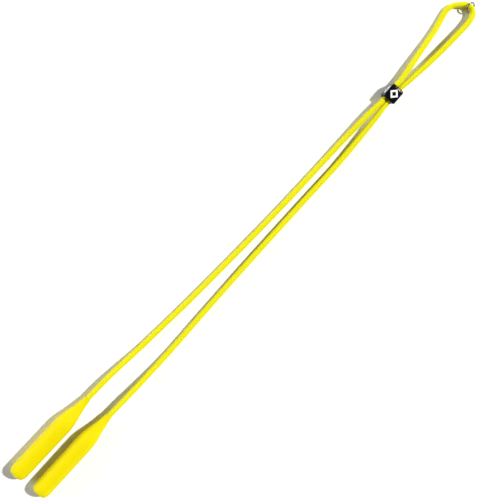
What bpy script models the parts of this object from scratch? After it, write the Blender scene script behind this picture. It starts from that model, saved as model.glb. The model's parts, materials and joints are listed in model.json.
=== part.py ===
"""Eyewear retainer strap: one elastic cord folded in half, a hollow temple sleeve
on each end, a cube slide bead over both strands, and a wire jump ring on the loop.

Metres, +Z up. +Y runs from the sleeves to the loop, +X across the strap, and the
strap lies on the plane z = 0. The origin is the middle of the footprint of the
sleeves, the bead and the ring.
"""

import math

import bmesh
import bpy
import numpy as np
from mathutils import Matrix, Vector

MM = 0.001

# Cord
CORD_R = 1.52                # free radius of the braided elastic cord
CORD_R_SLEEVE = 1.14         # squeezed by the sleeve neck and the ferrule
CORD_R_BEAD = 1.22           # squeezed by the bead's slot
CORD_LIE_Z = 1.58            # centre height where the cord lies on the table

# Temple sleeves
SLEEVE_LEN = 55.0
SLEEVE_R = 4.90
SLEEVE_Z = 4.92              # axis height when the sleeve lies on the table
SLEEVE_SIDES = 36
SOCKET_R = 3.05              # blind bore for the temple arm
SOCKET_DEPTH = 33.0
CHAMBER_R = 2.15             # pocket that holds the ferrule
CHAMBER_START = 36.0
CHAMBER_END = 42.6
NECK_BORE_R = 1.46
NECK_BORE_START = 43.4
RIM_FLAT = 0.42              # width of the flat ring round the mouth
RIM_AXIAL = 4.0              # length over which the rim rounds off
LEFT_MOUTH = (-7.20, -173.10)
LEFT_TILT = math.radians(0.9)
RIGHT_MOUTH = (7.90, -171.50)
RIGHT_TILT = math.radians(1.7)
PIVOT_FROM_NECK = 14.0       # the cord bends about a point this far past the neck

# Ferrules that stop the cord from pulling out of the sleeves
FERRULE_R = 1.85
FERRULE_BORE_R = 1.46
FERRULE_START = 36.7
FERRULE_LEN = 5.4
CORD_END = 37.3              # the cord stops this far from the mouth

# Slide bead
BEAD_AT = (-4.50, 108.20, 4.27)
BEAD_W = 7.5
BEAD_LEN = 8.5
BEAD_ROUND = 1.0
BEAD_YAW = math.radians(3.5)
BEAD_ROLL = math.radians(11.5)
STRAND_GAP = 2.70            # spacing of the two strands inside the slot
SLOT_HALF_W = 2.87
SLOT_HALF_H = 1.54

# Filled mark on each of the four long faces of the bead: an open lozenge
MARK_HALF_LONG = 2.65
MARK_HALF_WIDE = 2.50
MARK_STROKE = 1.00
MARK_DEEP = 0.36
MARK_GAP = 0.10

# Jump ring
RING_MEAN_R = 2.70
WIRE_R = 0.38
RING_SLIT = 0.25
RING_NORMAL = (0.80, 0.05, 0.60)
RING_AT = (-6.45, 170.00, 2.90)
RING_STEPS = 36
RING_SIDES = 10

# Route of the cord between the two sleeve necks, centre line in mm. The strands
# leave the necks at sleeve height, come down to the table, and climb to the bead.
# The loop droops on its left side and is propped on the ring at its tip.
LEFT_STRAND = [
    (-8.13, -113.5, 4.82), (-8.10, -108.3, 4.60), (-7.95, -100.0, 3.82),
    (-7.50, -90.7, 2.82), (-6.85, -79.2, 1.93), (-6.40, -66.6, 1.60),
    (-5.90, -53.9, CORD_LIE_Z), (-5.55, -41.2, CORD_LIE_Z), (-5.35, -28.5, CORD_LIE_Z),
    (-5.20, -14.8, CORD_LIE_Z), (-5.10, -1.0, CORD_LIE_Z), (-5.05, 11.7, CORD_LIE_Z),
    (-5.10, 24.3, CORD_LIE_Z), (-5.30, 37.0, CORD_LIE_Z), (-5.58, 49.7, 1.59),
    (-5.85, 61.3, 1.72), (-6.03, 71.8, 2.12), (-6.02, 81.2, 2.82),
    (-5.92, 89.5, 3.62), (-5.72, 96.0, 4.18),
]
LOOP = [
    (-6.35, 118.0, 4.44), (-7.40, 124.5, 4.12), (-8.60, 131.5, 3.50),
    (-9.85, 138.6, 2.82), (-11.15, 146.0, 2.20), (-12.70, 152.9, 1.80),
    (-14.10, 158.0, 1.60), (-14.55, 161.9, 1.60), (-13.28, 165.4, 1.75),
    (-11.67, 167.29, 2.00), (-9.07, 169.7, 2.44), (-6.91, 170.2, 2.84),
    (-4.93, 169.7, 3.14), (-3.26, 168.27, 3.38), (-1.93, 164.92, 3.64),
    (-1.56, 161.1, 3.78), (-1.45, 156.3, 3.88), (-1.45, 148.0, 3.95),
    (-1.62, 139.0, 3.94), (-2.05, 130.5, 3.92), (-2.55, 123.5, 3.92),
    (-3.00, 118.0, 3.94),
]
RIGHT_STRAND = [
    (-2.20, 96.0, 3.76), (-1.50, 89.6, 3.28), (-0.75, 81.3, 2.58),
    (-0.02, 71.9, 1.98), (0.67, 61.3, 1.69), (1.00, 49.7, 1.59),
    (1.30, 37.0, CORD_LIE_Z), (1.70, 24.3, CORD_LIE_Z), (2.05, 11.7, CORD_LIE_Z),
    (2.50, -1.0, CORD_LIE_Z), (3.00, -14.8, CORD_LIE_Z), (3.60, -28.5, CORD_LIE_Z),
    (4.15, -41.2, CORD_LIE_Z), (4.80, -53.9, CORD_LIE_Z), (5.45, -66.6, 1.61),
    (5.90, -78.2, 1.95), (6.15, -88.6, 2.82), (6.26, -97.9, 3.82),
    (6.25, -106.2, 4.58), (6.28, -111.4, 4.82),
]


def linear(r, g, b):
    """8-bit sRGB to linear."""
    def one(c):
        c /= 255
        return c / 12.92 if c <= 0.04045 else ((c + 0.055) / 1.055) ** 2.4
    return (one(r), one(g), one(b), 1.0)


def material(name, colour, roughness, metallic=0.0):
    mat = bpy.data.materials.new(name)
    mat.use_nodes = True
    shader = mat.node_tree.nodes["Principled BSDF"]
    shader.inputs["Base Color"].default_value = colour
    shader.inputs["Roughness"].default_value = roughness
    shader.inputs["Metallic"].default_value = metallic
    return mat


def place(obj, parent):
    bpy.context.collection.objects.link(obj)
    obj.parent = parent
    return obj


def empty(name, matrix):
    obj = bpy.data.objects.new(name, None)
    obj.empty_display_size = 0.004
    obj.matrix_world = matrix
    bpy.context.collection.objects.link(obj)
    return obj


def mesh_object(name, bm, mat, parent, smooth=35):
    bmesh.ops.recalc_face_normals(bm, faces=bm.faces)
    mesh = bpy.data.meshes.new(name)
    bm.to_mesh(mesh)
    bm.free()
    if mat:
        mesh.materials.append(mat)
    mesh.shade_smooth()
    mesh.set_sharp_from_angle(angle=math.radians(smooth))
    return place(bpy.data.objects.new(name, mesh), parent)


def turned(name, profile, sides, mat, parent):
    """A closed profile of (y, r) points in mm, turned about the local Y axis."""
    bm = bmesh.new()
    rings = []
    for k in range(sides):
        angle = 2 * math.pi * k / sides
        rings.append([
            bm.verts.new(Vector((r * math.cos(angle), y, r * math.sin(angle))) * MM)
            for y, r in profile
        ])
    count = len(profile)
    for k in range(sides):
        here, there = rings[k], rings[(k + 1) % sides]
        for i in range(count):
            j = (i + 1) % count
            bm.faces.new((here[i], here[j], there[j], there[i]))
    return mesh_object(name, bm, mat, parent)


def prism(name, outline, low, high, frame, mat, parent, hole=None):
    """An outline of (u, v) points in mm, extruded along w, with an optional hole."""
    bm = bmesh.new()

    def ring(points, w):
        return [bm.verts.new(frame @ Vector((u, v, w)) * MM) for u, v in points]

    outer = (ring(outline, low), ring(outline, high))
    inner = (ring(hole, low), ring(hole, high)) if hole else None
    count = len(outline)
    for i in range(count):
        j = (i + 1) % count
        bm.faces.new((outer[0][i], outer[0][j], outer[1][j], outer[1][i]))
        if inner:
            bm.faces.new((inner[0][j], inner[0][i], inner[1][i], inner[1][j]))
            for level in (0, 1):
                bm.faces.new((outer[level][i], outer[level][j],
                              inner[level][j], inner[level][i]))
    if not inner:
        bm.faces.new(outer[0])
        bm.faces.new(outer[1])
    return mesh_object(name, bm, mat, parent)


def cut(obj, cutter):
    cutter.hide_render = True
    cutter.display_type = "WIRE"
    modifier = obj.modifiers.new("cut_" + cutter.name, "BOOLEAN")
    modifier.operation = "DIFFERENCE"
    modifier.solver = "EXACT"
    modifier.object = cutter


PIECES = 24                  # dense points to each stretch between two route points


def spline_through(points):
    """Dense points of a natural cubic spline through the given ones."""
    points = np.array(points, float)
    knot = np.concatenate([[0], np.cumsum(np.linalg.norm(np.diff(points, axis=0), axis=1))])
    step = np.diff(knot)
    count = len(points)
    left = np.zeros((count, count))
    right = np.zeros((count, 3))
    left[0, 0] = left[-1, -1] = 1
    for i in range(1, count - 1):
        left[i, i - 1], left[i, i + 1] = step[i - 1], step[i]
        left[i, i] = 2 * (step[i - 1] + step[i])
        right[i] = 6 * ((points[i + 1] - points[i]) / step[i]
                        - (points[i] - points[i - 1]) / step[i - 1])
    second = np.linalg.solve(left, right)
    dense = []
    for i in range(count - 1):
        h = step[i]
        for u in np.linspace(0, h, PIECES, endpoint=False):
            a, b = (h - u) / h, u / h
            dense.append(a * points[i] + b * points[i + 1]
                         + ((a ** 3 - a) * second[i] + (b ** 3 - b) * second[i + 1]) * h * h / 6)
    dense.append(points[-1])
    return np.array(dense)


def thinned(dense, kept, straight, tight):
    """Points a stretch apart that shortens from straight to tight where the cord
    bends, with the route points of the given indices kept exactly."""
    length = np.concatenate([[0], np.cumsum(np.linalg.norm(np.diff(dense, axis=0), axis=1))])
    tangent = np.gradient(dense, length, axis=0)
    tangent /= np.linalg.norm(tangent, axis=1)[:, None]
    bend = np.linalg.norm(np.gradient(tangent, length, axis=0), axis=1)
    stretch = np.clip(0.42 / np.maximum(bend, 1e-4), tight, straight)
    share = np.concatenate([[0], np.cumsum(np.diff(length) / (0.5 * (stretch[1:] + stretch[:-1])))])
    at = [0.0]
    ends = [0] + [i * PIECES for i in kept] + [len(dense) - 1]
    for a, b in zip(ends, ends[1:]):
        parts = max(1, round(share[b] - share[a]))
        wanted = np.linspace(share[a], share[b], parts + 1)[1:]
        at += list(np.interp(wanted, share, length))
    return np.array([[np.interp(a, length, dense[:, k]) for k in range(3)] for a in at])


for old in list(bpy.data.objects):
    bpy.data.objects.remove(old, do_unlink=True)

# ---------------------------------------------------------------- materials
silicone = material("sleeve_silicone", linear(250, 233, 1), 0.5)
braid = material("cord_braid", linear(242, 238, 28), 0.75)
black = material("bead_acrylic", linear(16, 16, 22), 0.15)
white = material("mark_fill", linear(245, 245, 245), 0.35)
steel = material("ring_steel", linear(200, 200, 205), 0.22, 1.0)
brass = material("ferrule_metal", linear(190, 186, 178), 0.35, 1.0)


# ---------------------------------------------------------------- sleeves
def along(mouth, tilt, distance):
    """The point of a sleeve's axis this far from its mouth."""
    return (mouth[0] - math.sin(tilt) * distance,
            mouth[1] + math.cos(tilt) * distance, SLEEVE_Z)


def sleeve_profile():
    outer = []
    flat_end = SOCKET_R + RIM_FLAT
    for k in range(7):
        turn = math.pi / 2 * k / 6
        outer.append((RIM_AXIAL * (1 - math.cos(turn)),
                      flat_end + (SLEEVE_R - flat_end) * math.sin(turn)))
    # barrel, rounded shoulder, straight taper and the flare into the cord
    outer += [(33.5, SLEEVE_R), (35.6, 4.88), (37.4, 4.80), (39.0, 4.64), (40.6, 4.39),
              (43.7, 3.70), (46.9, 3.00), (50.0, 2.42), (51.8, 2.14),
              (53.4, 1.93), (54.6, 1.80), (SLEEVE_LEN, 1.74)]
    inner = [(SLEEVE_LEN, NECK_BORE_R), (NECK_BORE_START, NECK_BORE_R),
             (CHAMBER_END, CHAMBER_R), (CHAMBER_START, CHAMBER_R),
             (SOCKET_DEPTH, SOCKET_R), (0.0, SOCKET_R)]
    return outer + inner


def ferrule_profile():
    start, end = FERRULE_START, FERRULE_START + FERRULE_LEN
    return [(start, FERRULE_R - 0.2), (start + 0.2, FERRULE_R),
            (start + 1.7, FERRULE_R), (start + 2.1, FERRULE_R - 0.18),
            (start + 3.3, FERRULE_R - 0.18), (start + 3.7, FERRULE_R),
            (end - 0.2, FERRULE_R), (end, FERRULE_R - 0.2),
            (end, FERRULE_BORE_R), (start, FERRULE_BORE_R)]


for side, mouth, tilt in (("left", LEFT_MOUTH, LEFT_TILT), ("right", RIGHT_MOUTH, RIGHT_TILT)):
    reach = SLEEVE_LEN + PIVOT_FROM_NECK
    pivot = empty(side + "_sleeve_pivot",
                  Matrix.Translation(Vector(along(mouth, tilt, reach)) * MM)
                  @ Matrix.Rotation(tilt, 4, "Z"))
    shifted = [(y - reach, r) for y, r in sleeve_profile()]
    turned("temple_sleeve_" + side, shifted, SLEEVE_SIDES, silicone, pivot)
    shifted = [(y - reach, r) for y, r in ferrule_profile()]
    turned("cord_ferrule_" + side, shifted, 20, brass, pivot)

# ---------------------------------------------------------------- slide bead
bead_frame = (Matrix.Translation(Vector(BEAD_AT) * MM)
              @ Matrix.Rotation(BEAD_YAW, 4, "Z") @ Matrix.Rotation(BEAD_ROLL, 4, "Y"))
carriage = empty("bead_carriage", bead_frame)

bm = bmesh.new()
bmesh.ops.create_cube(bm, size=1.0)
bmesh.ops.scale(bm, vec=Vector((BEAD_W, BEAD_LEN, BEAD_W)) * MM, verts=bm.verts)
bead = mesh_object("slide_bead", bm, black, carriage)
rounding = bead.modifiers.new("rounded_edges", "BEVEL")
rounding.width = BEAD_ROUND * MM
rounding.segments = 3
rounding.limit_method = "NONE"

# the slot is as wide as both strands, with round ends, and runs right through
slot = []
for k in range(9):
    turn = -math.pi / 2 + math.pi * k / 8
    slot.append((SLOT_HALF_W - SLOT_HALF_H + SLOT_HALF_H * math.cos(turn),
                 SLOT_HALF_H * math.sin(turn)))
for k in range(9):
    turn = math.pi / 2 + math.pi * k / 8
    slot.append((-(SLOT_HALF_W - SLOT_HALF_H) + SLOT_HALF_H * math.cos(turn),
                 SLOT_HALF_H * math.sin(turn)))
through = Matrix.Rotation(math.radians(90), 3, "X")
cut(bead, prism("slot_cutter", slot, -BEAD_LEN, BEAD_LEN, through, None, carriage))


def lozenge(grow):
    """Corners of the mark's outline, moved out by this much from its middle line."""
    wide, long = MARK_HALF_WIDE - MARK_STROKE / 2, MARK_HALF_LONG - MARK_STROKE / 2
    scale = 1 + grow * math.hypot(wide, long) / (wide * long)
    return [(wide * scale, 0), (0, long * scale), (-wide * scale, 0), (0, -long * scale)]


for name, turn in (("top", 0), ("left", -90), ("bottom", 180), ("right", 90)):
    facing = Matrix.Rotation(math.radians(turn), 3, "Y")
    surface = BEAD_W / 2
    groove = prism("groove_cutter_" + name, lozenge(MARK_STROKE / 2 + MARK_GAP),
                   surface - MARK_DEEP - MARK_GAP, surface + 1.0, facing, None, carriage,
                   hole=lozenge(-MARK_STROKE / 2 - MARK_GAP))
    cut(bead, groove)
    prism("bead_mark_" + name, lozenge(MARK_STROKE / 2), surface - MARK_DEEP, surface,
          facing, white, carriage, hole=lozenge(-MARK_STROKE / 2))

# ---------------------------------------------------------------- jump ring
normal = Vector(RING_NORMAL).normalized()
ring_frame = normal.to_track_quat("Z", "Y").to_matrix().to_4x4()
hanger = empty("ring_pivot", Matrix.Translation(Vector(RING_AT) * MM) @ ring_frame)
bm = bmesh.new()
slit = RING_SLIT / RING_MEAN_R
loops = []
for k in range(RING_STEPS + 1):
    around = slit / 2 + (2 * math.pi - slit) * k / RING_STEPS - math.radians(60)
    loops.append([
        bm.verts.new(Vector(((RING_MEAN_R + WIRE_R * math.cos(a)) * math.cos(around),
                             (RING_MEAN_R + WIRE_R * math.cos(a)) * math.sin(around),
                             WIRE_R * math.sin(a))) * MM)
        for a in (2 * math.pi * j / RING_SIDES for j in range(RING_SIDES))
    ])
for here, there in zip(loops, loops[1:]):
    for j in range(RING_SIDES):
        n = (j + 1) % RING_SIDES
        bm.faces.new((here[j], here[n], there[n], there[j]))
bm.faces.new(loops[0])
bm.faces.new(loops[-1])
mesh_object("jump_ring", bm, steel, hanger)

# ---------------------------------------------------------------- cord
across, lengthwise = bead_frame.to_3x3().col[0], bead_frame.to_3x3().col[1]


def in_slot(side):
    """Centre line of one strand from the slot's lower face to its upper face."""
    middle = Vector(BEAD_AT) + across * side * STRAND_GAP / 2
    return [tuple(middle + lengthwise * d) for d in (-BEAD_LEN / 2, 0.0, BEAD_LEN / 2)]


def in_sleeve(mouth, tilt):
    return [along(mouth, tilt, d) for d in (CORD_END, 44.0, 50.0, SLEEVE_LEN)]


route = in_sleeve(LEFT_MOUTH, LEFT_TILT) + LEFT_STRAND
kept = [3, len(route)]
route += [(-5.56, 100.4, 4.44)] + in_slot(-1)
kept += [len(route) - 3, len(route) - 1, len(route)]
route += LOOP
kept += [len(route) - 1, len(route), len(route) + 2, len(route) + 3]
route += in_slot(1)[::-1] + [(-2.78, 100.4, 3.88)] + RIGHT_STRAND
kept.append(len(route))
route += in_sleeve(RIGHT_MOUTH, RIGHT_TILT)[::-1]

centre = thinned(spline_through(route), kept, straight=9.0, tight=2.6)

curve = bpy.data.curves.new("cord", "CURVE")
curve.dimensions = "3D"
curve.bevel_depth = CORD_R * MM
curve.bevel_resolution = 2
curve.use_fill_caps = True
curve.materials.append(braid)
line = curve.splines.new("POLY")
line.points.add(len(centre) - 1)
neck_end = max(LEFT_MOUTH[1], RIGHT_MOUTH[1]) + SLEEVE_LEN
for point, (x, y, z) in zip(line.points, centre):
    point.co = (x * MM, y * MM, z * MM, 1)
    # full size in the open, squeezed where a neck or the slot holds it
    from_slot = abs(y - BEAD_AT[1]) - BEAD_LEN / 2
    near_bead = min(max((from_slot - 0.8) / 8.0, 0), 1)
    mouth = LEFT_MOUTH if x < 0 else RIGHT_MOUTH
    from_neck = y - (mouth[1] + SLEEVE_LEN)
    near_neck = min(max((from_neck - 0.3) / 2.2, 0), 1)
    radius = min(CORD_R_BEAD + (CORD_R - CORD_R_BEAD) * near_bead,
                 CORD_R_SLEEVE + (CORD_R - CORD_R_SLEEVE) * near_neck)
    point.radius = radius / CORD_R
line.use_smooth = True
place(bpy.data.objects.new("cord", curve), None)
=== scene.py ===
import json
import math

import bmesh
import bpy
import numpy as np
from mathutils import Matrix, Vector

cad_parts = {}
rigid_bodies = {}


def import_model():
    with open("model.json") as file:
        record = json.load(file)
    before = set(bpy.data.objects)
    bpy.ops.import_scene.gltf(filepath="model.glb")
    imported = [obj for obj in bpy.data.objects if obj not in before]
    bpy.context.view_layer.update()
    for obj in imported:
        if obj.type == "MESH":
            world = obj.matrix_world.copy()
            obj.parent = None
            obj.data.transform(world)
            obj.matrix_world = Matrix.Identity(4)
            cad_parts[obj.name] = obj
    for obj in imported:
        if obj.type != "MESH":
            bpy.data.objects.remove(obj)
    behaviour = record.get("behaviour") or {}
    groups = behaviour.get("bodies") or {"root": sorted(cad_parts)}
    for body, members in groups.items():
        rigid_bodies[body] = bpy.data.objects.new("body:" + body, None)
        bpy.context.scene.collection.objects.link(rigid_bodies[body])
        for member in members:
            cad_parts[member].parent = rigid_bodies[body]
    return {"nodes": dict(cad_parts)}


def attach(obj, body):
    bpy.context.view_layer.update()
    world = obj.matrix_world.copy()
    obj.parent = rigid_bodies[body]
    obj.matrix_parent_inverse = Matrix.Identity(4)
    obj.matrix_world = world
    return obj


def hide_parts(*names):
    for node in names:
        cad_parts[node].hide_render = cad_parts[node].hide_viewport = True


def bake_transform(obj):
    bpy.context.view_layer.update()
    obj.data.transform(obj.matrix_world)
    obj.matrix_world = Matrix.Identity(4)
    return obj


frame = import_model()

MM = 0.001
TAU = 2 * math.pi
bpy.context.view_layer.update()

for old in list(bpy.data.objects):
    if old.type in ("CAMERA", "LIGHT") or old.name == "Cube":
        bpy.data.objects.remove(old, do_unlink=True)


# ================================================================ camera
# Straight down on the strap, turned so that the loop is at the upper right.
RIGHT, UP = Vector((0.7185, 0.6955, 0.0)), Vector((-0.6955, 0.7185, 0.0))
lens = bpy.data.cameras.new("camera")
lens.sensor_width = 36.0
lens.lens = 73.37
lens.clip_start = 0.01
lens.clip_end = 20.0
camera = bpy.data.objects.new("camera", lens)
turn = Matrix((RIGHT, UP, Vector((0, 0, 1)))).transposed().to_4x4()
camera.matrix_world = Matrix.Translation((-0.00545, -0.00685, 0.540)) @ turn
bpy.context.scene.collection.objects.link(camera)
bpy.context.scene.camera = camera
bpy.context.scene.view_settings.view_transform = "Standard"


# ================================================================ small helpers
def linear(r, g, b):
    """8-bit sRGB to linear."""
    def one(c):
        c /= 255
        return c / 12.92 if c <= 0.04045 else ((c + 0.055) / 1.055) ** 2.4
    return (one(r), one(g), one(b), 1.0)


def mesh_from(name, points, faces, material, sharp=None, attributes=None, flat=()):
    """A mesh object from points in mm and faces of any size."""
    mesh = bpy.data.meshes.new(name)
    mesh.from_pydata([tuple(p) for p in np.asarray(points, float) * MM], [], faces)
    mesh.validate()
    mesh.shade_smooth()
    for index in flat:
        mesh.polygons[index].use_smooth = False
    if sharp is not None:
        mesh.set_sharp_from_angle(angle=math.radians(sharp))
    for key, (kind, values) in (attributes or {}).items():
        made = mesh.attributes.new(key, kind, "POINT")
        made.data.foreach_set("vector" if kind == "FLOAT_VECTOR" else "value",
                              np.asarray(values, np.float32).ravel())
    mesh.materials.append(material)
    obj = bpy.data.objects.new(name, mesh)
    bpy.context.scene.collection.objects.link(obj)
    return obj


def natural_spline(knots, points):
    """A function that gives the natural cubic spline through points at any knot value."""
    knots, points = np.asarray(knots, float), np.asarray(points, float)
    step, count = np.diff(knots), len(knots)
    left, right = np.zeros((count, count)), np.zeros((count,) + points.shape[1:])
    left[0, 0] = left[-1, -1] = 1
    for i in range(1, count - 1):
        left[i, i - 1], left[i, i + 1] = step[i - 1], step[i]
        left[i, i] = 2 * (step[i - 1] + step[i])
        right[i] = 6 * ((points[i + 1] - points[i]) / step[i]
                        - (points[i] - points[i - 1]) / step[i - 1])
    second = np.linalg.solve(left, right)

    def at(values):
        values = np.asarray(values, float)
        i = np.clip(np.searchsorted(knots, values, "right") - 1, 0, count - 2)
        h, u = step[i], values - knots[i]
        a, b = (h - u) / h, u / h
        shape = (-1,) + (1,) * (points.ndim - 1)
        a, b, h = a.reshape(shape), b.reshape(shape), h.reshape(shape)
        return (a * points[i] + b * points[i + 1]
                + ((a ** 3 - a) * second[i] + (b ** 3 - b) * second[i + 1]) * h * h / 6)
    return at


# ================================================================ materials
class Nodes:
    """A thin wrapper that keeps node trees short to write."""

    def __init__(self, name):
        self.material = bpy.data.materials.new(name)
        self.material.use_nodes = True
        self.tree = self.material.node_tree
        self.shader = self.tree.nodes["Principled BSDF"]
        self.output = self.tree.nodes["Material Output"]

    def add(self, kind, **settings):
        node = self.tree.nodes.new("ShaderNode" + kind)
        for key, value in settings.items():
            setattr(node, key, value)
        return node

    def link(self, source, target):
        self.tree.links.new(source, target)

    def feed(self, socket, value):
        if isinstance(value, bpy.types.NodeSocket):
            self.link(value, socket)
        else:
            socket.default_value = value

    def maths(self, operation, a, b=0.0, c=None):
        node = self.add("Math", operation=operation)
        self.feed(node.inputs[0], a)
        self.feed(node.inputs[1], b)
        if c is not None:
            self.feed(node.inputs[2], c)
        return node.outputs[0]

    def scaled(self, value, low, high):
        """0..1 to low..high."""
        return self.maths("MULTIPLY_ADD", value, high - low, low)

    def mix(self, factor, a, b, blend="MIX"):
        node = self.add("Mix", data_type="RGBA", blend_type=blend)
        self.feed(node.inputs[0], factor)
        self.feed(node.inputs[6], a)
        self.feed(node.inputs[7], b)
        return node.outputs[2]

    def noise(self, scale, detail=2.0, rough=0.5, vector=None, distortion=0.0):
        node = self.add("TexNoise")
        node.inputs["Scale"].default_value = scale
        node.inputs["Detail"].default_value = detail
        node.inputs["Roughness"].default_value = rough
        node.inputs["Distortion"].default_value = distortion
        self.link(vector or self.position(), node.inputs["Vector"])
        return node.outputs["Fac"]

    def position(self):
        """Where the point is on the piece, which doesn't change as the piece moves."""
        if not hasattr(self, "_position"):
            self._position = self.add("TexCoord").outputs["Object"]
        return self._position

    def stored(self, name):
        node = self.add("Attribute", attribute_type="GEOMETRY", attribute_name=name)
        return node

    def ramp(self, value, stops, interpolation="EASE"):
        node = self.add("ValToRGB")
        node.color_ramp.interpolation = interpolation
        elements = node.color_ramp.elements
        while len(elements) < len(stops):
            elements.new(0.5)
        for element, (place, colour) in zip(elements, stops):
            element.position, element.color = place, colour
        self.feed(node.inputs[0], value)
        return node.outputs["Color"]

    def bump(self, height, distance, strength=1.0, normal=None):
        node = self.add("Bump")
        node.inputs["Strength"].default_value = strength
        node.inputs["Distance"].default_value = distance
        self.link(height, node.inputs["Height"])
        if normal is not None:
            self.link(normal, node.inputs["Normal"])
        return node.outputs["Normal"]

    def set(self, **values):
        for key, value in values.items():
            socket = self.shader.inputs[key.replace("_", " ")]
            self.feed(socket, value)
        return self


CARRIERS = 8                 # strands of the braid in each direction
CELL = 1.20                  # length of one crossing along the cord, mm


def cord_material():
    n = Nodes("cord_braid")
    where = n.add("SeparateXYZ")
    n.link(n.stored("braid").outputs["Vector"], where.inputs[0])
    round_ = n.maths("MULTIPLY", n.maths("ARCTAN2", where.outputs[1], where.outputs[0]),
                     CARRIERS / TAU)
    a = n.maths("ADD", round_, where.outputs[2])
    b = n.maths("SUBTRACT", round_, where.outputs[2])
    # which of the two directions is on top here, as 0 or 1
    parity = n.maths("FLOORED_MODULO", n.maths("ADD", n.maths("FLOOR", a), n.maths("FLOOR", b)), 2.0)
    across = n.maths("ADD", n.maths("MULTIPLY", a, n.maths("SUBTRACT", 1.0, parity)),
                     n.maths("MULTIPLY", b, parity))
    # five yarn ends lie side by side in each strand
    yarn = n.maths("MULTIPLY_ADD", n.maths("SINE", n.maths("MULTIPLY", across, TAU * 5)), 0.5, 0.5)
    # each crossing has its own slight shade
    cell = n.add("CombineXYZ")
    n.link(n.maths("FLOOR", a), cell.inputs[0])
    n.link(n.maths("FLOOR", b), cell.inputs[1])
    shade = n.add("TexWhiteNoise", noise_dimensions="3D")
    n.link(cell.outputs[0], shade.inputs["Vector"])
    crest = n.stored("crest").outputs["Fac"]
    mottle = n.noise(420, detail=3, rough=0.6)
    fuzz = n.noise(9000, detail=2, rough=0.7)
    # painted shade: the braid is darker down in the grooves between crossings and lighter on their crests
    groove_shaded = n.ramp(crest, [(0.0, (0.28, 0.18, 0.001, 1)), (0.30, (0.62, 0.54, 0.002, 1)),
                          (0.62, (0.83, 0.80, 0.003, 1)), (1.0, (0.90, 0.885, 0.004, 1))])
    tone = n.mix(n.maths("MULTIPLY", shade.outputs["Value"], 0.5), groove_shaded,
                 (0.77, 0.83, 0.003, 1))
    tone = n.mix(n.scaled(mottle, 0.0, 0.32), tone, (0.84, 0.70, 0.003, 1))
    # painted shade in the creases between the yarn ends
    tone = n.mix(n.maths("MULTIPLY", n.maths("SUBTRACT", 1.0, yarn), 0.22), tone,
                 (0.56, 0.47, 0.002, 1))
    height = n.maths("ADD", n.maths("MULTIPLY", yarn, 0.7), n.maths("MULTIPLY", fuzz, 0.6))
    n.set(Base_Color=tone, Roughness=n.scaled(fuzz, 0.62, 0.88), Normal=n.bump(height, 0.00005, 0.55),
          Sheen_Weight=0.12, Sheen_Roughness=0.45, Sheen_Tint=(1.0, 0.97, 0.45, 1),
          Specular_IOR_Level=0.15)
    return n.material


def sleeve_material():
    n = Nodes("sleeve_rubber")
    cloud = n.noise(75, detail=3, rough=0.55)
    speck = n.noise(1400, detail=2, rough=0.6)
    grain = n.noise(5200, detail=3, rough=0.65)
    rim_lit = n.stored("rim_highlight").outputs["Fac"]
    tone = n.mix(n.scaled(cloud, 0.0, 1.0), (0.740, 0.632, 0.0008, 1), (0.765, 0.658, 0.0010, 1))
    tone = n.mix(n.maths("MULTIPLY", speck, 0.22), tone, (0.70, 0.57, 0.0006, 1))
    # painted highlight: the rim is painted paler, as where its rounded edge catches the light, and is a little rougher
    paler_rim = n.maths("MULTIPLY", rim_lit, n.scaled(speck, 0.15, 0.75))
    tone = n.mix(paler_rim, tone, (0.80, 0.70, 0.012, 1))
    rough = n.maths("ADD", n.scaled(speck, 0.46, 0.60), n.maths("MULTIPLY", rim_lit, 0.12))
    height = n.maths("ADD", n.maths("MULTIPLY", grain, 0.6), n.maths("MULTIPLY", speck, 0.8))
    n.set(Base_Color=tone, Roughness=rough, Normal=n.bump(height, 0.00006, 0.35),
          Subsurface_Weight=0.22, Subsurface_Scale=0.0025, Subsurface_Radius=(1.0, 0.72, 0.10),
          Specular_IOR_Level=0.07)
    return n.material


def bead_material():
    n = Nodes("bead_plastic")
    cloud = n.noise(260, detail=3)
    scuff = n.noise(2600, detail=4, rough=0.7, distortion=0.6)
    tone = n.mix(n.scaled(cloud, 0.0, 1.0), (0.0016, 0.0016, 0.0032, 1), (0.0036, 0.0036, 0.0070, 1))
    scratches = n.ramp(scuff, [(0.0, (0, 0, 0, 1)), (0.62, (0, 0, 0, 1)), (0.78, (1, 1, 1, 1)),
                               (1.0, (1, 1, 1, 1))])
    tone = n.mix(n.maths("MULTIPLY", scratches, 0.25), tone, (0.012, 0.012, 0.018, 1))
    n.set(Base_Color=tone, Roughness=n.maths("MULTIPLY_ADD", scratches, 0.14, 0.13),
          Normal=n.bump(scuff, 0.00001, 0.10), Specular_IOR_Level=0.25)
    return n.material


def mark_material():
    n = Nodes("mark_plastic")
    cloud = n.noise(900, detail=3)
    grain = n.noise(7000, detail=2)
    tone = n.mix(cloud, (0.84, 0.84, 0.84, 1), (0.93, 0.93, 0.94, 1))
    n.set(Base_Color=tone, Roughness=n.scaled(grain, 0.30, 0.46), Normal=n.bump(grain, 0.00002, 0.3))
    return n.material


def steel_material():
    n = Nodes("ring_steel")
    # drawn wire: fine lines round the ring, with a few duller patches
    lines = n.stored("wire").outputs["Vector"]
    stretch = n.add("Mapping")
    stretch.inputs["Scale"].default_value = (1.0, 26.0, 1.0)
    n.link(lines, stretch.inputs["Vector"])
    draw = n.noise(9.0, detail=3, rough=0.6, vector=stretch.outputs["Vector"])
    patch = n.noise(600, detail=2)
    tone = n.mix(patch, (0.15, 0.147, 0.138, 1), (0.25, 0.246, 0.235, 1))
    n.set(Base_Color=tone, Metallic=1.0, Roughness=n.scaled(draw, 0.05, 0.15),
          Normal=n.bump(draw, 0.00001, 0.3))
    return n.material


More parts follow.
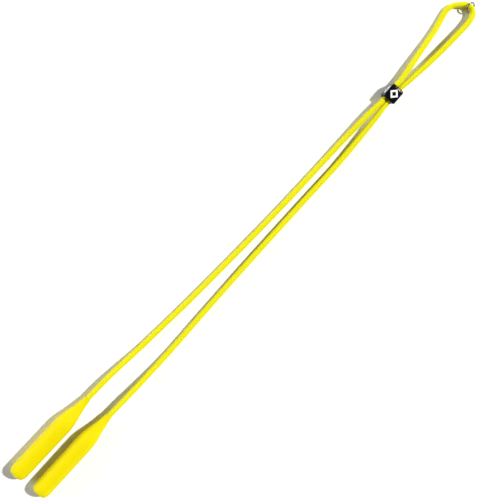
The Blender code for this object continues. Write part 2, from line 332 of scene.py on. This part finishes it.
def ferrule_material():
    n = Nodes("ferrule_metal")
    cloud = n.noise(700, detail=3)
    grain = n.noise(5000, detail=3)
    tone = n.mix(cloud, (0.55, 0.53, 0.50, 1), (0.70, 0.69, 0.66, 1))
    n.set(Base_Color=tone, Metallic=1.0, Roughness=n.scaled(grain, 0.28, 0.45),
          Normal=n.bump(grain, 0.00002, 0.3))
    return n.material


CORD, SLEEVE = cord_material(), sleeve_material()
BEAD, MARK = bead_material(), mark_material()
STEEL, FERRULE = steel_material(), ferrule_material()


# ================================================================ cord
# The same route as the solid model's: from inside the left sleeve, up the left
# strand, through the bead, round the loop, back through the bead and down the right.
CORD_R, CORD_R_SLEEVE, CORD_R_BEAD, LIE = 1.52, 1.26, 1.22, 1.58
SLEEVE_LEN, SLEEVE_Z = 55.0, 4.92
MOUTHS = {"left": (-7.20, -173.10, math.radians(0.9)), "right": (7.90, -171.50, math.radians(1.7))}
BEAD_AT = Vector((-4.50, 108.20, 4.27))
BEAD_TURN = (Matrix.Rotation(math.radians(3.5), 4, "Z") @ Matrix.Rotation(math.radians(11.5), 4, "Y"))
LEFT_STRAND = [
    (-8.13, -113.5, 4.82), (-8.10, -108.3, 4.60), (-7.95, -100.0, 3.82), (-7.50, -90.7, 2.82),
    (-6.85, -79.2, 1.93), (-6.40, -66.6, 1.60), (-5.90, -53.9, LIE), (-5.55, -41.2, LIE),
    (-5.35, -28.5, LIE), (-5.20, -14.8, LIE), (-5.10, -1.0, LIE), (-5.05, 11.7, LIE),
    (-5.10, 24.3, LIE), (-5.30, 37.0, LIE), (-5.58, 49.7, 1.59), (-5.85, 61.3, 1.72),
    (-6.03, 71.8, 2.12), (-6.02, 81.2, 2.82), (-5.92, 89.5, 3.62), (-5.72, 96.0, 4.18),
]
LOOP = [
    (-6.35, 118.0, 4.44), (-7.40, 124.5, 4.12), (-8.60, 131.5, 3.50), (-9.85, 138.6, 2.82),
    (-11.15, 146.0, 2.20), (-12.70, 152.9, 1.80), (-14.10, 158.0, 1.60), (-14.55, 161.9, 1.60),
    (-13.28, 165.4, 1.75), (-11.67, 167.29, 2.00), (-9.07, 169.7, 2.44), (-6.91, 170.2, 2.84),
    (-4.93, 169.7, 3.14), (-3.26, 168.27, 3.38), (-1.93, 164.92, 3.64), (-1.56, 161.1, 3.78),
    (-1.45, 156.3, 3.88), (-1.45, 148.0, 3.95), (-1.62, 139.0, 3.94), (-2.05, 130.5, 3.92),
    (-2.55, 123.5, 3.92), (-3.00, 118.0, 3.94),
]
RIGHT_STRAND = [
    (-2.20, 96.0, 3.76), (-1.50, 89.6, 3.28), (-0.75, 81.3, 2.58), (-0.02, 71.9, 1.98),
    (0.67, 61.3, 1.69), (1.00, 49.7, 1.59), (1.30, 37.0, LIE), (1.70, 24.3, LIE),
    (2.05, 11.7, LIE), (2.50, -1.0, LIE), (3.00, -14.8, LIE), (3.60, -28.5, LIE),
    (4.15, -41.2, LIE), (4.80, -53.9, LIE), (5.45, -66.6, 1.61), (5.90, -78.2, 1.95),
    (6.15, -88.6, 2.82), (6.26, -97.9, 3.82), (6.25, -106.2, 4.58), (6.28, -111.4, 4.82),
]


def along(side, distance):
    """The point of a sleeve's axis this far from its mouth."""
    x, y, tilt = MOUTHS[side]
    return (x - math.sin(tilt) * distance, y + math.cos(tilt) * distance, SLEEVE_Z)


def in_slot(side):
    turned = BEAD_TURN.to_3x3()
    middle = BEAD_AT + turned.col[0] * side * 1.35
    return [tuple(middle + turned.col[1] * d) for d in (-4.25, 0.0, 4.25)]


IN_SLEEVE = (37.3, 44.0, 50.0, 55.0)
route = ([along("left", d) for d in IN_SLEEVE] + LEFT_STRAND + [(-5.56, 100.4, 4.44)]
         + in_slot(-1) + LOOP + in_slot(1)[::-1] + [(-2.78, 100.4, 3.88)] + RIGHT_STRAND
         + [along("right", d) for d in IN_SLEEVE[::-1]])
route = np.array(route)
knots = np.concatenate([[0], np.cumsum(np.linalg.norm(np.diff(route, axis=0), axis=1))])
spline = natural_spline(knots, route)
dense = spline(np.linspace(0, knots[-1], 12000))
travel = np.concatenate([[0], np.cumsum(np.linalg.norm(np.diff(dense, axis=0), axis=1))])

AROUND = CARRIERS * 6        # points round the cord
STEP = CELL / 6              # and along it, so that every groove falls on points
rings = int(travel[-1] / STEP)
CENTRE = np.stack([np.interp(np.arange(rings + 1) * STEP, travel, dense[:, k]) for k in range(3)], 1)


def frames(centre):
    """Tangent and two cross directions at each point, turning as little as they can."""
    tangent = np.gradient(centre, axis=0)
    tangent /= np.linalg.norm(tangent, axis=1)[:, None]
    side = np.zeros_like(centre)
    side[0] = (0, 0, 1)
    for i in range(1, len(centre)):
        v = side[i - 1] - tangent[i] * (side[i - 1] @ tangent[i])
        side[i] = v / np.linalg.norm(v)
    return tangent, side, np.cross(tangent, side)


TANGENT, SIDE, OTHER = frames(CENTRE)


def cord_radius(centre):
    """Full size in the open, squeezed where a neck or the bead's slot holds it."""
    x, y = centre[:, 0], centre[:, 1]
    from_bead = np.abs(y - BEAD_AT.y) - 4.25
    mouth_y = np.where(x < 0, MOUTHS["left"][1], MOUTHS["right"][1])
    from_neck = y - (mouth_y + SLEEVE_LEN)
    ease = lambda v, low, high: (lambda u: u * u * (3 - 2 * u))(np.clip((v - low) / (high - low), 0, 1))
    beside = CORD_R_BEAD + 0.19 * ease(from_bead, 0.1, 1.1) + (CORD_R - CORD_R_BEAD - 0.19) * ease(from_bead, 1.1, 9.0)
    # the stretch just past a neck is a little fuller
    below = (CORD_R_SLEEVE + (CORD_R + 0.06 - CORD_R_SLEEVE) * ease(from_neck, -0.35, 0.35)
             - 0.06 * ease(from_neck, 4.0, 22.0))
    return np.minimum(beside, below)


def braided(name, first, last):
    """The cord's braid between two of its rings, with each crossing's relief."""
    i = np.arange(first, last + 1)
    j = np.arange(AROUND)
    angle = TAU * j / AROUND
    a = (j[None, :] + i[:, None]) / 6.0
    b = (j[None, :] - i[:, None]) / 6.0
    fa, fb = a - np.floor(a + 1e-9), b - np.floor(b + 1e-9)
    on_top_a = (np.floor(a + 1e-9) + np.floor(b + 1e-9)) % 2 < 0.5
    across = np.where(on_top_a, fa, fb)
    lengthwise = np.where(on_top_a, fb, fa)
    crown = np.sqrt(np.clip(1 - (2 * across - 1) ** 2, 0, 1))
    arch = np.sin(math.pi * np.clip(lengthwise, 0, 1)) ** 0.55
    crest = crown ** 0.8 * arch
    radius = cord_radius(CENTRE[i])[:, None] * (1 + 0.005 * np.sin(i * 0.031)[:, None])
    radius = radius - 0.125 + 0.150 * crest
    points = (CENTRE[i][:, None, :]
              + radius[..., None] * (np.cos(angle)[None, :, None] * SIDE[i][:, None, :]
                                     + np.sin(angle)[None, :, None] * OTHER[i][:, None, :]))
    count = len(i)
    k, m = np.meshgrid(np.arange(count - 1), j, indexing="ij")
    n = (m + 1) % AROUND
    here, there = k * AROUND, (k + 1) * AROUND
    faces = np.stack([here + m, here + n, there + n, there + m], -1).reshape(-1, 4).tolist()
    ends = [list(range(AROUND))[::-1], list(range((count - 1) * AROUND, count * AROUND))]
    braid = np.stack([np.broadcast_to(np.cos(angle)[None, :], a.shape),
                      np.broadcast_to(np.sin(angle)[None, :], a.shape),
                      np.broadcast_to((i / 6.0)[:, None], a.shape)], -1)
    obj = mesh_from(name, points.reshape(-1, 3), faces + ends, CORD,
                    attributes={"braid": ("FLOAT_VECTOR", braid.reshape(-1, 3)),
                                "crest": ("FLOAT", crest.ravel())},
                    flat=(len(faces), len(faces) + 1))
    # the end caps meet the braid at an edge, so the braid stays smooth up to it
    mesh = obj.data
    edge_sharp = np.zeros(len(mesh.edges), bool)
    edge_ends = np.zeros(len(mesh.edges) * 2, np.int32)
    mesh.edges.foreach_get("vertices", edge_ends)
    edge_ends = edge_ends.reshape(-1, 2)
    for low in (0, (count - 1) * AROUND):
        edge_sharp |= ((edge_ends >= low) & (edge_ends < low + AROUND)).all(1)
    made = mesh.attributes.get("sharp_edge") or mesh.attributes.new("sharp_edge", "BOOLEAN", "EDGE")
    made.data.foreach_set("value", edge_sharp)
    return obj, i


def crossing(y, after, rising):
    """The first ring past the given one where the cord passes this y."""
    over = CENTRE[:, 1] >= y if rising else CENTRE[:, 1] <= y
    return after + int(np.argmax(over[after:]))


PART_Y = -88.0
cut_a = crossing(PART_Y, 0, True)
cut_b = crossing(BEAD_AT.y, cut_a, True)
cut_c = crossing(BEAD_AT.y, cut_b + 300, False)
cut_d = crossing(PART_Y, cut_c, False)
BEAD_SIDE, STRAP_SIDE = (-0.0043, 0.100, 0.0), (0.0009, -0.087, 0.0)
LOOP_SIDE, TIP_SIDE = (-0.0043, 0.113, 0.0), (-0.0057, 0.163, 0.0)
SPANS = {
    # name: first ring, last ring, then two body names and two points, which the loop below does not use
    "cord_left_lower": (0, cut_a, "left_sleeve", "strap", (-0.00806, -0.1181, 0), (-0.00806, -0.0900, 0)),
    "cord_left_upper": (cut_a, cut_b, "slider", "strap", BEAD_SIDE, STRAP_SIDE),
    "cord_loop": (cut_b, cut_c, "slider", "strap", LOOP_SIDE, TIP_SIDE),
    "cord_right_upper": (cut_c, cut_d, "slider", "strap", BEAD_SIDE, STRAP_SIDE),
    "cord_right_lower": (cut_d, rings, "right_sleeve", "strap", (0.00627, -0.1165, 0), (0.00627, -0.0900, 0)),
}
for name, (first, last, a, b, start, end) in SPANS.items():
    piece, used = braided(name, first, last)
    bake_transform(piece)
    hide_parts("cord")
    trail = CENTRE[used[::5]] * MM
    if (len(used) - 1) % 5:
        trail = np.vstack([trail, CENTRE[used[-1]] * MM])


# ================================================================ temple sleeves
def outer_profile():
    """(distance from the mouth, radius), from the rim's top to the neck's end."""
    rim, flat, deep = 4.90, 3.42, 4.0
    shape = []
    for k in range(15):
        swing = math.pi / 2 * k / 14
        shape.append((deep * (1 - math.cos(swing)), flat + (rim - flat) * math.sin(swing)))
    for d in np.arange(5.5, 33.0, 1.5):
        # a moulded barrel is never quite straight
        shape.append((d, rim + 0.012 * math.sin(d * 0.43) - 0.010))
    d = np.array([33.5, 35.6, 37.4, 39.0, 40.6, 43.7, 46.9, 50.0, 51.8, 53.4, 54.6])
    r = np.array([4.89, 4.87, 4.79, 4.63, 4.39, 3.70, 3.00, 2.42, 2.14, 1.93, 1.80])
    taper = natural_spline(d, r)
    shape += [(v, float(taper([v])[0])) for v in np.linspace(33.5, 54.6, 34)]
    shape += [(54.82, 1.775), (54.95, 1.72), (55.0, 1.65)]
    return shape


def inner_profile():
    """From the neck's end back to the mouth."""
    shape = [(55.0, 1.58), (54.9, 1.52), (54.7, 1.47), (54.3, 1.46), (50.0, 1.46), (45.0, 1.46), (43.4, 1.46),
             (43.0, 1.62), (42.6, 2.00), (42.3, 2.15), (39.0, 2.15), (36.2, 2.15), (35.6, 2.30),
             (33.4, 2.90), (32.8, 3.05)]
    shape += [(d, 3.05) for d in (30.0, 25.0, 20.0, 15.0, 10.0, 6.0, 3.0, 1.4)]
    shape += [(0.62, 3.07), (0.28, 3.13), (0.08, 3.22), (0.0, 3.32)]
    return shape


SIDES = 96


def sleeve(name, side):
    x, y, tilt = MOUTHS[side]
    profile = outer_profile() + inner_profile()
    d, r = np.array(profile).T
    angle = TAU * np.arange(SIDES) / SIDES
    seat = np.array([x, y, SLEEVE_Z])
    forward = np.array([-math.sin(tilt), math.cos(tilt), 0.0])
    sideways = np.array([math.cos(tilt), math.sin(tilt), 0.0])
    up = np.array([0, 0, 1.0])
    points = (seat + d[None, :, None] * forward
              + r[None, :, None] * (np.cos(angle)[:, None, None] * sideways
                                    + np.sin(angle)[:, None, None] * up))
    count = len(profile)
    k, m = np.meshgrid(np.arange(SIDES), np.arange(count), indexing="ij")
    n, q = (k + 1) % SIDES, (m + 1) % count
    faces = np.stack([k * count + m, k * count + q, n * count + q, n * count + m], -1)
    outer = len(outer_profile())
    # painted highlight: a paler band on the outside near the rim
    at_rim = np.exp(-(d / 2.2) ** 2) * (np.arange(count) < outer)
    rim_highlight = np.broadcast_to(at_rim[None, :], (SIDES, count))
    return mesh_from(name, points.reshape(-1, 3), faces.reshape(-1, 4).tolist(), SLEEVE,
                     sharp=50, attributes={"rim_highlight": ("FLOAT", rim_highlight.ravel())})


for side in ("left", "right"):
    piece = sleeve("sleeve_" + side, side)
    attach(piece, side + "_sleeve")
    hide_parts("temple_sleeve_" + side)
    ferrule = frame["nodes"]["cord_ferrule_" + side]
    ferrule.data.materials.clear()
    ferrule.data.materials.append(FERRULE)


# ================================================================ slide bead
BEAD_W, BEAD_LEN, BEAD_ROUND = 7.5, 8.5, 1.10
SLOT_W, SLOT_H = 2.87, 1.54
MARK_LONG, MARK_WIDE, STROKE, DEEP = 2.65, 2.50, 1.00, 0.36
BEAD_FRAME = Matrix.Translation(BEAD_AT) @ BEAD_TURN


def solid(name, bm, material):
    bmesh.ops.recalc_face_normals(bm, faces=bm.faces)
    mesh = bpy.data.meshes.new(name)
    bm.to_mesh(mesh)
    bm.free()
    mesh.transform(Matrix.Scale(MM, 4) @ BEAD_FRAME)
    if material:
        mesh.materials.append(material)
    obj = bpy.data.objects.new(name, mesh)
    bpy.context.scene.collection.objects.link(obj)
    return obj


def lofted(name, sections, frame_, material=None, hole=None):
    """Outlines of (u, v) points at rising w, joined into one solid."""
    bm = bmesh.new()
    made = []
    for outline, w in sections:
        made.append([bm.verts.new(frame_ @ Vector((u, v, w))) for u, v in outline])
    inner = [[bm.verts.new(frame_ @ Vector((u, v, w))) for u, v in outline]
             for outline, w in hole] if hole else None
    count = len(made[0])
    for low, high in zip(made, made[1:]):
        for i in range(count):
            j = (i + 1) % count
            bm.faces.new((low[i], low[j], high[j], high[i]))
    if inner:
        for low, high in zip(inner, inner[1:]):
            for i in range(count):
                j = (i + 1) % count
                bm.faces.new((low[j], low[i], high[i], high[j]))
        for level in (0, -1):
            for i in range(count):
                j = (i + 1) % count
                bm.faces.new((made[level][i], made[level][j], inner[level][j], inner[level][i]))
    else:
        bm.faces.new(made[0])
        bm.faces.new(made[-1])
    return solid(name, bm, material)


def carve(obj, cutter):
    """Cuts the cutter from obj for good and removes the cutter."""
    modifier = obj.modifiers.new("cut", "BOOLEAN")
    modifier.operation, modifier.solver, modifier.object = "DIFFERENCE", "EXACT", cutter
    bpy.context.view_layer.update()
    graph = bpy.context.evaluated_depsgraph_get()
    mesh = bpy.data.meshes.new_from_object(obj.evaluated_get(graph))
    obj.modifiers.clear()
    obj.data = mesh
    bpy.data.objects.remove(cutter, do_unlink=True)


def slot_outline(grow):
    w, h = SLOT_W + grow, SLOT_H + grow
    shape = []
    for centre, first in ((w - h, -math.pi / 2), (h - w, math.pi / 2)):
        for k in range(13):
            swing = first + math.pi * k / 12
            shape.append((centre + h * math.cos(swing), h * math.sin(swing)))
    return shape


def lozenge(grow, steps=5, round_=0.30):
    """The mark's outline moved out by this much, with its corners rounded."""
    wide, long = MARK_WIDE - STROKE / 2, MARK_LONG - STROKE / 2
    scale = 1 + grow * math.hypot(wide, long) / (wide * long)
    corners = [Vector((wide * scale, 0)), Vector((0, long * scale)),
               Vector((-wide * scale, 0)), Vector((0, -long * scale))]
    shape = []
    for i, corner in enumerate(corners):
        before, after = corners[i - 1], corners[(i + 1) % 4]
        p = corner + (before - corner).normalized() * round_
        q = corner + (after - corner).normalized() * round_
        for k in range(steps):
            t = k / (steps - 1)
            v = (1 - t) ** 2 * p + 2 * t * (1 - t) * corner + t * t * q
            shape.append((v.x, v.y))
    return shape


bm = bmesh.new()
bmesh.ops.create_cube(bm, size=1.0)
bmesh.ops.scale(bm, vec=Vector((BEAD_W, BEAD_LEN, BEAD_W)), verts=bm.verts)
bmesh.ops.bevel(bm, geom=list(bm.edges), offset=BEAD_ROUND, segments=7, profile=0.5, affect="EDGES")
bead = solid("bead_body", bm, BEAD)
through = Matrix.Rotation(math.radians(90), 3, "X")
half = BEAD_LEN / 2
carve(bead, lofted("slot_cutter", [
    (slot_outline(0.34), -half - 0.5), (slot_outline(0.34), -half - 0.01), (slot_outline(0.12), -half + 0.10),
    (slot_outline(0.02), -half + 0.32), (slot_outline(0.0), -half + 0.6),
    (slot_outline(0.0), half - 0.6), (slot_outline(0.02), half - 0.32), (slot_outline(0.12), half - 0.10),
    (slot_outline(0.34), half + 0.01), (slot_outline(0.34), half + 0.5)], through))
face = BEAD_W / 2
for name, turn_ in (("top", 0), ("left", -90), ("bottom", 180), ("right", 90)):
    facing = Matrix.Rotation(math.radians(turn_), 3, "Y")
    edge = STROKE / 2
    carve(bead, lofted("groove_cutter", [
        (lozenge(edge + 0.03), face - DEEP - 0.05), (lozenge(edge + 0.03), face - 0.10),
        (lozenge(edge + 0.09), face + 0.02), (lozenge(edge + 0.09), face + 0.5)], facing,
        hole=[(lozenge(-edge - 0.03), face - DEEP - 0.05), (lozenge(-edge - 0.03), face - 0.10),
              (lozenge(-edge - 0.09), face + 0.02), (lozenge(-edge - 0.09), face + 0.5)]))
    inlay = lofted("mark_" + name, [
        (lozenge(edge), face - DEEP), (lozenge(edge), face - 0.10), (lozenge(edge - 0.05), face - 0.045)],
        facing, MARK, hole=[(lozenge(-edge), face - DEEP), (lozenge(-edge), face - 0.10),
                            (lozenge(-edge + 0.05), face - 0.045)])
    inlay.data.shade_smooth()
    inlay.data.set_sharp_from_angle(angle=math.radians(50))
    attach(inlay, "slider")
    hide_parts("bead_mark_" + name)
bead.data.shade_smooth()
bead.data.set_sharp_from_angle(angle=math.radians(32))
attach(bead, "slider")
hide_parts("slide_bead")


# ================================================================ split ring
RING_R, WIRE_R, SLIT = 2.70, 0.38, 0.25
RING_AT = Vector((-6.45, 170.00, 2.90))
RING_NORMAL = Vector((0.80, 0.05, 0.60)).normalized()


def split_ring(name, steps=120, sides=18):
    """A wire bent to a ring, its two cut ends slightly rounded."""
    seat = Matrix.Translation(RING_AT) @ RING_NORMAL.to_track_quat("Z", "Y").to_matrix().to_4x4()
    slit = SLIT / RING_R
    first, sweep = slit / 2 - math.radians(60), TAU - slit
    stations = [(0.0, 0.55), (0.0006, 0.80), (0.0016, 0.93), (0.0032, 1.0)]
    stations += [(t, 1.0) for t in np.linspace(0.0032, 1 - 0.0032, steps)[1:-1]]
    stations += [(1 - 0.0032, 1.0), (1 - 0.0016, 0.93), (1 - 0.0006, 0.80), (1.0, 0.55)]
    points, wire = [], []
    for t, size in stations:
        swing = first + sweep * t
        for j in range(sides):
            spin = TAU * j / sides
            r = RING_R + WIRE_R * size * math.cos(spin)
            p = seat @ Vector((r * math.cos(swing), r * math.sin(swing), WIRE_R * size * math.sin(spin)))
            points.append(p)
            wire.append((t * 17.0, math.cos(spin), math.sin(spin)))
    count = len(stations)
    faces = []
    for i in range(count - 1):
        for j in range(sides):
            n = (j + 1) % sides
            faces.append((i * sides + j, i * sides + n, (i + 1) * sides + n, (i + 1) * sides + j))
    faces.append(tuple(range(sides))[::-1])
    faces.append(tuple(range((count - 1) * sides, count * sides)))
    obj = mesh_from(name, points, faces, STEEL, attributes={"wire": ("FLOAT_VECTOR", wire)})
    bm = bmesh.new()
    bm.from_mesh(obj.data)
    bmesh.ops.recalc_face_normals(bm, faces=bm.faces)
    bm.to_mesh(obj.data)
    bm.free()
    obj.data.set_sharp_from_angle(angle=math.radians(60))
    return obj


ring = split_ring("wire_ring")
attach(ring, "ring")
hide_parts("jump_ring")


# ================================================================ floor and light
KEY, FILL, ROOM, BACKDROP = 4.1, 2.75, 0.09, 0.80
n = Nodes("floor_paper")
n.set(Base_Color=n.mix(n.noise(3.0, detail=2), (0.91, 0.91, 0.91, 1), (0.94, 0.94, 0.94, 1)),
      Roughness=0.85, Specular_IOR_Level=0.2)
mesh = bpy.data.meshes.new("floor")
mesh.from_pydata([(-3, -3, 0), (3, -3, 0), (3, 3, 0), (-3, 3, 0)], [], [(0, 1, 2, 3)])
mesh.materials.append(n.material)
floor = bpy.data.objects.new("floor", mesh)
bpy.context.scene.collection.objects.link(floor)

# a dim room with a pale backdrop, a key lamp on the right and a wide soft box on the left
world = bpy.data.worlds.new("studio")
bpy.context.scene.world = world
world.use_nodes = True
tree = world.node_tree
background = tree.nodes["Background"]
background.inputs["Color"].default_value = (1.0, 1.0, 1.0, 1.0)
rays = tree.nodes.new("ShaderNodeLightPath")
level = tree.nodes.new("ShaderNodeMapRange")
level.inputs["To Min"].default_value = ROOM
level.inputs["To Max"].default_value = BACKDROP
tree.links.new(rays.outputs["Is Camera Ray"], level.inputs["Value"])
tree.links.new(level.outputs["Result"], background.inputs["Strength"])


def sun(name, energy, angle, direction, colour):
    light = bpy.data.lights.new(name, "SUN")
    light.energy, light.angle, light.color = energy, math.radians(angle), colour
    lamp = bpy.data.objects.new(name, light)
    lamp.rotation_euler = Vector(direction).to_track_quat("Z", "Y").to_euler()
    bpy.context.scene.collection.objects.link(lamp)


sun("key", KEY, 5.5, (0.50, 0.73, 1.0), (1.0, 0.995, 0.98))
sun("soft_box", FILL, 38.0, (-0.90, -0.34, 0.27), (1.0, 1.0, 1.0))
